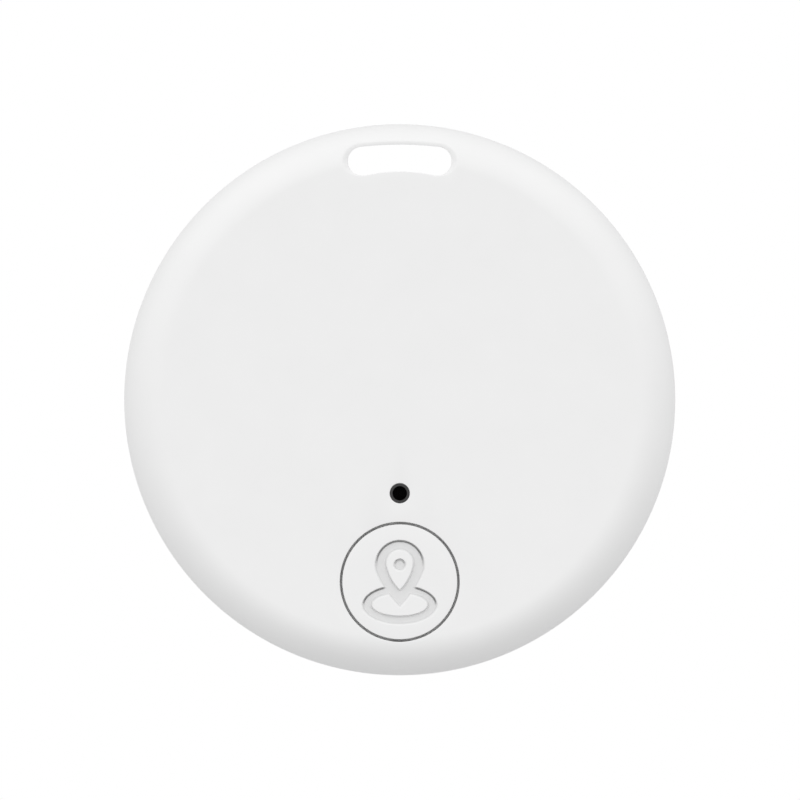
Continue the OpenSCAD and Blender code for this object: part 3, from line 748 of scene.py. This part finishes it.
def build_rear():
    s = Shape()
    cover(s, -1, 0.0, FLOOR, rear_notch=True)
    # the lip: its root inside the side wall, and the part that enters the front cover
    half = lip_arc(0.3)
    root_in, root_out, root_high = LIP_IN + 0.02, CAVITY_R + 0.12, 3.12
    s.lathe(rounded([(root_in, LIP_ROOT), (root_out, LIP_ROOT), (root_out, root_high), (root_in, root_high)],
                    0.02, 2, True), 420, closed=True, arc=(90 + half, 450 - half))
    half = lip_arc(SLOT_WALL + 0.2) + 0.2
    beads = [SNAP_Z + SNAP_R * math.cos(math.radians(a)) for a in range(0, 181, 15)]
    foot = 3.0
    profile = rounded([(LIP_IN, foot), (LIP_IN, LIP_TOP, 0.12), (LIP_R - 0.2, LIP_TOP, 0.03),
                       (LIP_R, LIP_TOP - 0.2, 0.08)], 0, 3)
    profile += [(LIP_R, z) for z in beads] + [(LIP_R, 3.45), (LIP_R, foot)]

    def snap(r, z, a):
        """Pushes the bead out, within 13 degrees of each post."""
        off = min(abs((a - p + 180) % 360 - 180) for p in POSTS)
        reach = math.sqrt(max(0.0, SNAP_R ** 2 - (z - SNAP_Z) ** 2)) if r > LIP_R - 0.01 else 0.0
        return r + reach * smooth((13 - off) / 1.2), z

    s.lathe(profile, 720, closed=True, arc=(90 + half, 450 - half), warp=snap)
    # ring wall round the cell, open at the contact and low at two finger cut-outs
    top, low, corner = 3.9, 1.7, 0.45
    gap, half_cut = 1.8, 4.0         # half the contact's opening, and half a finger cut-out

    def wall_top(off):
        """Height of the wall's rounded shoulder, off millimetres from the middle of a cut-out."""
        t = min(max(off - half_cut, 0.0), corner)
        return top - corner + math.sqrt(corner ** 2 - (corner - t) ** 2)

    columns = []                     # (angle on the inner face, angle on the outer face, height)

    def column(centre_angle, offset, height):
        """A column offset millimetres to the side of an angle."""
        columns.append((centre_angle + math.degrees(math.asin(offset / CELL_WALL_IN)),
                        centre_angle + math.degrees(math.asin(offset / CELL_WALL_OUT)), height))

    def finger(angle):
        shoulder = (half_cut, 4.05, 4.15, 4.3, 4.45, 4.9)
        for off in reversed(shoulder):
            column(angle, -off, wall_top(off))
        for k in range(25):
            column(angle, -half_cut + 2 * half_cut * k / 24, low)
        for off in shoulder:
            column(angle, off, wall_top(off))

    def plain(a, b):
        """Columns of full height from angle a to angle b."""
        n = int((b - a) / 2.5)
        for k in range(n + 1):
            columns.append((a + (b - a) * k / n,) * 2 + (top,))

    # degrees round the cell: the contact at 150, the cut-outs at 210 and at 390
    column(150, gap, top)
    plain(163, 181)
    finger(210)
    plain(239, 361)
    finger(390)
    plain(419, 497)
    column(510, -gap, top)
    rows = []
    root, c = FLOOR - 0.3, 0.1       # foot inside the floor, bevel at the top
    for a_in, a_out, height in columns:
        section = [(CELL_WALL_IN, root, a_in), (CELL_WALL_IN, height - c, a_in),
                   (CELL_WALL_IN + c, height, a_in), (CELL_WALL_OUT - c, height, a_out),
                   (CELL_WALL_OUT, height - c, a_out), (CELL_WALL_OUT, root, a_out)]
        rows.append(s.add([(*polar(r, a, CELL), z) for r, z, a in section]))
    s.strips(rows)
    s.faces += [tuple(rows[0]), tuple(reversed(rows[-1]))]
    for pin in BOARD_PINS:
        s.lathe(rounded([(0, root), (1.25, root), (1.25, FLOOR + 0.02), (0.85, FLOOR + 0.35, 0.3),
                         (0.8, 4.8, 0.12), (0, 4.8)], 0.05, 4), 36, pin)
    s.piece("rear_cover_shell", "rear_case", "shell_plastic", "rear_cover")


# ------------------------ button
MARK_DEPTH = 0.24                    # depth of the pictogram's floor
MARK_EDGE = (0.24, 0.1)              # breadth of the pictogram's soft edges, and of its steep ones
CREASE = 0.2                         # extra depth at the foot of the steep edges


def teardrop(x, y, head, reach, flank):
    """Signed distance to a round head drawn down to a point by arcs of radius flank, negative inside."""
    x = np.abs(x)
    y = y + reach                    # the point is the origin, the head's middle is reach above
    flank_y = (reach ** 2 + 2 * flank * head - head ** 2) / (2 * reach)
    flank_x = math.sqrt(flank ** 2 - flank_y ** 2)
    u, v = x + flank_x, y - flank_y
    above = flank_x * v > (reach - flank_y) * u
    beyond = flank_x * v < -flank_y * u
    d = np.where(above, np.hypot(x, y - reach) - head, np.hypot(u, v) - flank)
    return np.where(beyond, np.hypot(x, y), d)


def ellipse(x, y, a, b):
    """About the signed distance to an ellipse, exact at its edge."""
    f = np.hypot(x / a, y / b)
    g = np.hypot(x / a ** 2, y / b ** 2) / np.maximum(f, 1e-9)
    return (f - 1) / np.maximum(g, 1e-9)


def mark(x, y):
    """Signed distance to the pictogram's sunk area about the button's centre, negative inside it,
    and how marked its nearest edge is."""
    rise, drop = 1.26, 1.65          # middle of the pin's head, and of the ring
    pin = teardrop(x, y - rise, 1.76, 3.06, 8.0)
    island = -ellipse(x, y + drop, 2.04, 0.83)
    outer = ellipse(x, y + drop, 2.69, 1.4)
    ring = np.maximum(outer, island)
    core = -teardrop(x, y - rise - 0.1, 1.0, 1.96, 3.6)
    dot = np.hypot(x, y - rise) - 0.41
    d = np.minimum(np.maximum(np.minimum(pin, ring), core), dot)
    sharp = np.where(d == outer, np.clip(pin / 0.16, 0, 1), np.where(d == dot, 0.45, 1.0))
    return d, np.where((d == island) | (d == core), 0.15, sharp)


def mark_drop(x, y):
    """How deep the pictogram is at a point: edges that face down the tag are steep, with a crease at
    their foot, and the others are soft."""
    h = 0.02
    d, sharp = mark(np.array([x, x + h, x - h, x, x]), np.array([y, y, y, y + h, y - h]))
    across, along = d[1] - d[2], d[3] - d[4]
    facing = smooth((along / max(1e-9, math.hypot(across, along)) + 0.3) / 0.9)
    breadth = MARK_EDGE[0] + (MARK_EDGE[1] - MARK_EDGE[0]) * facing
    crease = sharp[0] * facing * smooth((0.02 - d[0]) / 0.05) * smooth((0.155 + d[0]) / 0.09)
    return MARK_DEPTH * smooth(0.5 - d[0] / breadth) + CREASE * crease


def contour(field, level, xs, ys, found, edges):
    """Marching squares: adds the points of one contour to found and its segments to edges."""
    above = field > level
    mixed = above[:-1, :-1].astype(int) + above[1:, :-1] + above[:-1, 1:] + above[1:, 1:]
    seen = {}

    def point(i, j, k, m):
        key = (i, j, k, m)
        if key not in seen:
            f, g = field[i, j], field[k, m]
            t = min(0.98, max(0.02, (level - f) / (g - f)))
            seen[key] = len(found)
            found.append((xs[j] + (xs[m] - xs[j]) * t, ys[i] + (ys[k] - ys[i]) * t))
        return seen[key]

    for i, j in zip(*np.nonzero((mixed > 0) & (mixed < 4))):
        sides = [(i, j, i, j + 1), (i, j + 1, i + 1, j + 1), (i + 1, j, i + 1, j + 1), (i, j, i + 1, j)]
        cut = [s for s in sides if above[s[0], s[1]] != above[s[2], s[3]]]
        pts = [point(*s) for s in cut]
        edges += [tuple(pts[:2])] + ([tuple(pts[2:])] if len(pts) == 4 else [])


def build_button():
    s = Shape()
    cx, cy = BUTTON

    def ring(r, z):
        return s.level(circle(r, PLAN_N, BUTTON), z)

    rows = [ring(BUTTON_R - d, TOP - drop) for d, drop in BUTTON_EDGE] + [ring(BUTTON_R, FLANGE_HIGH)]
    s.strips(rows)

    def height(x, y):
        return TOP - mark_drop(x - cx, y - cy)

    step = 0.04                      # with odd offsets, so that no edge runs along the grid's points
    xs, ys = np.arange(-3.1, 3.1, step) + 0.0037, np.arange(-3.6, 3.5, step) + 0.0023
    field = mark(*np.meshgrid(xs, ys))[0]
    found, edges = [], []
    for level in (0.17, 0.135, 0.11, 0.085, 0.062, 0.045, 0.03, 0.015, 0, -0.015, -0.03, -0.045, -0.062,
                  -0.085, -0.11, -0.135, -0.16, -0.185, -0.21, -0.245, -0.29):
        contour(field, level, xs, ys, found, edges)
    found = [(x + cx, y + cy) for x, y in found]
    s.fill(rows[0], (), found, height, extra_edges=edges)
    # the flange under the cover, trimmed to the round wall and beside the sounder
    flange = []
    for x, y in circle(FLANGE_R, PLAN_N, BUTTON):
        y = min(y, FLANGE_SIDE)
        if math.hypot(x, y) > FLANGE_REACH:
            d = Vector((x - cx, y - cy)).normalized()
            low, high = 0.0, FLANGE_R
            for _ in range(30):
                mid = (low + high) / 2
                if math.hypot(cx + d.x * mid, cy + d.y * mid) < FLANGE_REACH:
                    low = mid
                else:
                    high = mid
            x, y = cx + d.x * low, cy + d.y * low
        flange.append((x, y))
    pip = ((0.95, WELL_Z), (0.95, 6.52), (0.93, 6.48), (0.89, 6.46))     # just above the plunger
    under = [s.level(flange, FLANGE_HIGH), s.level(flange, FLANGE_LOW), ring(WELL_R, FLANGE_LOW),
             ring(WELL_R, WELL_Z)] + [ring(r, z) for r, z in pip]
    s.strips(rows[-1:] + under)
    s.faces.append(tuple(under[-1]))
    s.piece("button_cap_shell", "button", "button_plastic", "button_cap", 50)


# ------------------------ soft, sprung and woven parts
def build_dome():
    """The switch's snap dome, in its rest shape; the real dome flattens as the button goes down."""
    s = Shape()
    low, high = dome_low.z, dome_high.z
    r = (dome_high.x - dome_low.x) / 2
    rise = high - low
    ball = (r * r + rise * rise) / (2 * rise)
    thick = 0.05

    def skin(ball, reach, top):
        """Profile of a ball's cap from its top out to radius reach."""
        turns = [math.asin(reach / ball) * k / 16 for k in range(17)]
        return [(ball * math.sin(t), top - ball * (1 - math.cos(t))) for t in turns]

    inner = [(x, max(z, low)) for x, z in reversed(skin(ball - thick, r - 0.02, high - thick))]
    s.lathe(skin(ball, r, high) + inner, 72, BUTTON)
    dome = s.piece("snap_dome", "front_case", "spring_steel", "switch_dome", 60)
    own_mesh(dome)


def build_foam():
    """Foam pad under the cell: crowned, with a soft rim and a pitted skin."""
    s = Shape()
    r, low, high = (foam_high.x - foam_low.x) / 2, foam_low.z, foam_high.z
    profile = [(0, low), (r - 0.12, low), (r, low + 0.09)]
    n = 26
    for k in range(n + 1):
        x = (r - 0.01) * (1 - k / n)
        edge = 1 - (x / r) ** 10
        profile.append((x, low + 0.12 + (high - low - 0.13) * max(0.0, edge) ** 0.6))
    s.lathe(profile, 180, CELL)
    rng = np.random.default_rng(7)
    wave = rng.uniform(0, 2 * math.pi, 12)
    for i, (x, y, z) in enumerate(s.co):
        if z > low + 0.1:
            dip = sum(math.sin(x * (1.1 + 0.5 * k) + wave[k]) * math.sin(y * (1.6 + 0.43 * k) + wave[k + 6])
                      for k in range(6)) / 6
            s.co[i] = (x, y, z - 0.012 * (1 + dip))
    pad = s.piece("foam_spacer", "rear_case", "foam", "foam_pad", 60)


def build_mesh_disc():
    """Woven dust mesh behind the sound hole: fine wires over and under, in a thin rim."""
    s = Shape()
    r = (mesh_high.x - mesh_low.x) / 2
    z0 = (mesh_low.z + mesh_high.z) / 2
    wire, wave, sides = 0.011, 0.0115, 5                  # a wire's radius, its weave up and down, its sides
    count = int(r / MESH_PITCH)
    for along in (0, 1):
        for k in range(-count, count + 1):
            off = k * MESH_PITCH
            reach = math.sqrt(max(0.0, (r - 0.03) ** 2 - off * off))
            if reach < MESH_PITCH:
                continue
            n = max(4, int(2 * reach / (MESH_PITCH / 3)))
            rings = []
            for i in range(n + 1):
                t = -reach + 2 * reach * i / n
                lift = wave * math.cos(math.pi * t / MESH_PITCH + math.pi * (k + along))
                ring = []
                for c in range(sides):
                    a = 2 * math.pi * c / sides
                    u, v = off + wire * math.cos(a), z0 + lift + wire * math.sin(a)
                    ring.append((PORT[0] + (t if along else u), PORT[1] + (u if along else t), v))
                rings.append(s.add(ring))
            s.strips(rings)
            s.faces += [tuple(rings[0]), tuple(reversed(rings[-1]))]
    low, high, bevel = mesh_low.z, mesh_high.z, 0.01
    film, rim_r = low + 0.004, r - 0.06                   # a thin film behind the wires, and a rim round them
    s.lathe([(0, low), (r - bevel, low), (r, low + bevel), (r, high - bevel), (r - bevel, high),
             (rim_r + bevel, high), (rim_r, high - bevel), (rim_r, film), (0, film)], 72, PORT)
    s.piece("woven_dust_mesh", "front_case", "black_mesh", "dust_mesh", 70)


# ------------------------ the CAD parts that stay
STAYING = {                          # node: (material, edge rounding in millimetres)
    "port_liner": ("black_plastic", 0.03),
    "switch_plunger": ("switch_plastic", 0.02),
    "switch_base": ("switch_plastic", 0.03),
    "switch_cover": ("spring_steel", 0.012),
    "switch_terminals": ("tin_plate", 0.02),
    "circuit_board": ("solder_mask", 0.04),
    "radio_chip": ("chip_epoxy", 0.03),
    "main_crystal": ("crystal_metal", 0.05),
    "clock_crystal": ("crystal_metal", 0.05),
    "chip_antenna": ("antenna_ceramic", 0.03),
    "boost_inductor": ("ferrite", 0.04),
    "sounder_driver": ("chip_epoxy", 0.04),
    "chip_capacitors": ("capacitor_ceramic", 0.03),
    "chip_resistors": ("resistor_ceramic", 0.02),
    "piezo_plate": ("piezo_brass", 0.015),
    "piezo_ceramic": ("piezo_silver", 0.015),
    "piezo_adhesive": ("adhesive", 0.015),
    "piezo_lead_red": ("lead_red", 0),
    "piezo_lead_black": ("lead_black", 0),
    "solder_joints": ("solder", 0),
    "positive_contact": ("contact_nickel", 0.025),
    "negative_contact": ("contact_nickel", 0.025),
    "cell_can": ("cell_steel", 0.03),
    "cell_gasket": ("gasket_plastic", 0.02),
    "cell_cap": ("cell_cap_steel", 0.03),
}


def dress(node, slot, rounding):
    """Gives a CAD part its material and soft edges."""
    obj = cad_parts[node]
    obj.data.materials.clear()
    obj.data.materials.append(materials[slot])
    obj.data.shade_smooth()
    if rounding:
        bevel = obj.modifiers.new("soft_edges", "BEVEL")
        bevel.width = rounding * MM
        bevel.segments = 2
        bevel.limit_method = "ANGLE"
        bevel.angle_limit = math.radians(35)
        bevel.harden_normals = True


# ------------------------ camera, light and floor
STUDIO = (                           # axis, sign, power and level of each soft light above the floor
    (0, 1, 1, 0.734),
    (0, -1, 1, 0.817),
    (1, 1, 1, 0.929),
    (2, 1, 1, 0.077),
    (2, 1, 4, 1.205),
)
BOUNCE = 0.814                       # light that comes back up from the floor
PICTURE = 58.07                      # breadth of what the picture shows, in millimetres
AIM = (0.018, -0.02)                 # where the picture's middle lies on the tag


def build_camera():
    data = bpy.data.cameras.new("camera")
    camera = bpy.data.objects.new("camera", data)
    bpy.context.scene.collection.objects.link(camera)
    bpy.context.scene.camera = camera
    data.type, data.ortho_scale = "ORTHO", PICTURE * MM   # no perspective, straight above the face
    data.clip_start, data.clip_end = 0.01, 2
    camera.location = (AIM[0] * MM, AIM[1] * MM, 0.2)


def build_light():
    """A white studio: soft light from above, from the left and right and from the slot's side of the tag.
    Where the camera sees past the tag it is plain white."""
    world = bpy.data.worlds.new("studio")
    bpy.context.scene.world = world
    world.use_nodes = True
    tree = world.node_tree
    tree.nodes.clear()
    make, link = tree.nodes.new, tree.links.new

    def math_node(operation, a, b):
        node = make("ShaderNodeMath")
        node.operation = operation
        for i, value in enumerate((a, b)):
            if isinstance(value, bpy.types.NodeSocket):
                link(value, node.inputs[i])
            else:
                node.inputs[i].default_value = value
        return node.outputs[0]

    split = make("ShaderNodeSeparateXYZ")
    link(make("ShaderNodeTexCoord").outputs["Generated"], split.inputs[0])
    x, y, z = split.outputs
    upper = 0.0
    for axis, sign, power, level in STUDIO:
        value = math_node("MAXIMUM", math_node("MULTIPLY", (x, y, z)[axis], sign), 0.0)
        value = math_node("MULTIPLY", math_node("POWER", value, power), level)
        upper = math_node("ADD", upper, value)
    above = math_node("GREATER_THAN", z, 0.0)
    below = math_node("MULTIPLY", math_node("LESS_THAN", z, 0.0), BOUNCE)
    level = math_node("ADD", math_node("MULTIPLY", upper, above), below)
    soft, white = make("ShaderNodeBackground"), make("ShaderNodeBackground")
    link(level, soft.inputs["Strength"])
    for background in (soft, white):
        background.inputs["Color"].default_value = (1, 1, 1, 1)
    mix, out = make("ShaderNodeMixShader"), make("ShaderNodeOutputWorld")
    link(make("ShaderNodeLightPath").outputs["Is Camera Ray"], mix.inputs[0])
    link(soft.outputs[0], mix.inputs[1])
    link(white.outputs[0], mix.inputs[2])
    link(mix.outputs[0], out.inputs["Surface"])
    settings = bpy.context.scene.view_settings
    settings.view_transform, settings.look = "Standard", "None"
    settings.exposure, settings.gamma = 0, 1


def build_floor():
    """White ground that only the camera sees."""
    mesh = bpy.data.meshes.new("floor")
    half, low = 3.0, -0.02 * MM
    mesh.from_pydata([(-half, -half, low), (half, -half, low), (half, half, low), (-half, half, low)], [],
                     [(0, 1, 2, 3)])
    floor = bpy.data.objects.new("floor", mesh)
    bpy.context.scene.collection.objects.link(floor)
    material = bpy.data.materials.new("floor_white")
    material.use_nodes = True
    tree = material.node_tree
    tree.nodes.clear()
    glow = tree.nodes.new("ShaderNodeEmission")
    glow.inputs["Strength"].default_value = 1.0
    under = tree.nodes.new("ShaderNodeMixShader")     # seen from below, the floor is clear
    tree.links.new(tree.nodes.new("ShaderNodeNewGeometry").outputs["Backfacing"], under.inputs[0])
    tree.links.new(glow.outputs[0], under.inputs[1])
    tree.links.new(tree.nodes.new("ShaderNodeBsdfTransparent").outputs[0], under.inputs[2])
    tree.links.new(under.outputs[0], tree.nodes.new("ShaderNodeOutputMaterial").inputs["Surface"])
    mesh.materials.append(material)
    for kind in ("diffuse", "glossy", "transmission", "volume_scatter", "shadow"):
        setattr(floor, "visible_" + kind, False)      # the light that it sends back is the studio's BOUNCE


build_camera()
build_light()
build_floor()
build_front()
build_rear()
build_button()
build_dome()
build_foam()
build_mesh_disc()
for node, (slot, rounding) in STAYING.items():
    dress(node, slot, rounding)
